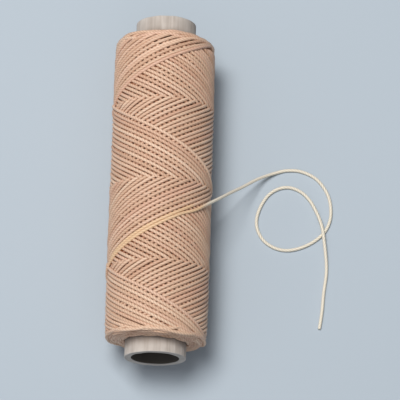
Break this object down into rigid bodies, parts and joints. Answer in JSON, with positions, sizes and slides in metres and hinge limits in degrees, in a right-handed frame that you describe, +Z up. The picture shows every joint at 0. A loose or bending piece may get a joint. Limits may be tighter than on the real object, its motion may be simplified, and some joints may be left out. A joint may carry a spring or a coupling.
{
  "type": "waxed thread spool",
  "caption": "Waxed sewing thread cross-wound on a plain rolled-paper tube, lying on its side, with a loose thread end that runs off the winding and lies in one loop.",
  "frame": {"origin": "on the surface that the spool lies on, straight under the middle of the paper tube", "axes": "+Y along the tube towards the end with more bare tube, +X towards the side where the loose thread lies, +Z up"},
  "size_m": [0.0549, 0.085, 0.025],
  "materials": {
    "tube_paper": "matte",
    "wound_thread": "waxed satin",
    "loose_thread": "waxed satin"
  },
  "bodies": {
    "root": {"tube_inner_ply": "tube_paper", "tube_second_ply": "tube_paper", "tube_third_ply": "tube_paper", "tube_outer_ply": "tube_paper", "inner_winding": "wound_thread", "middle_winding": "wound_thread", "outer_winding": "wound_thread", "thread_tail": "loose_thread"}
  },
  "joints": []
}
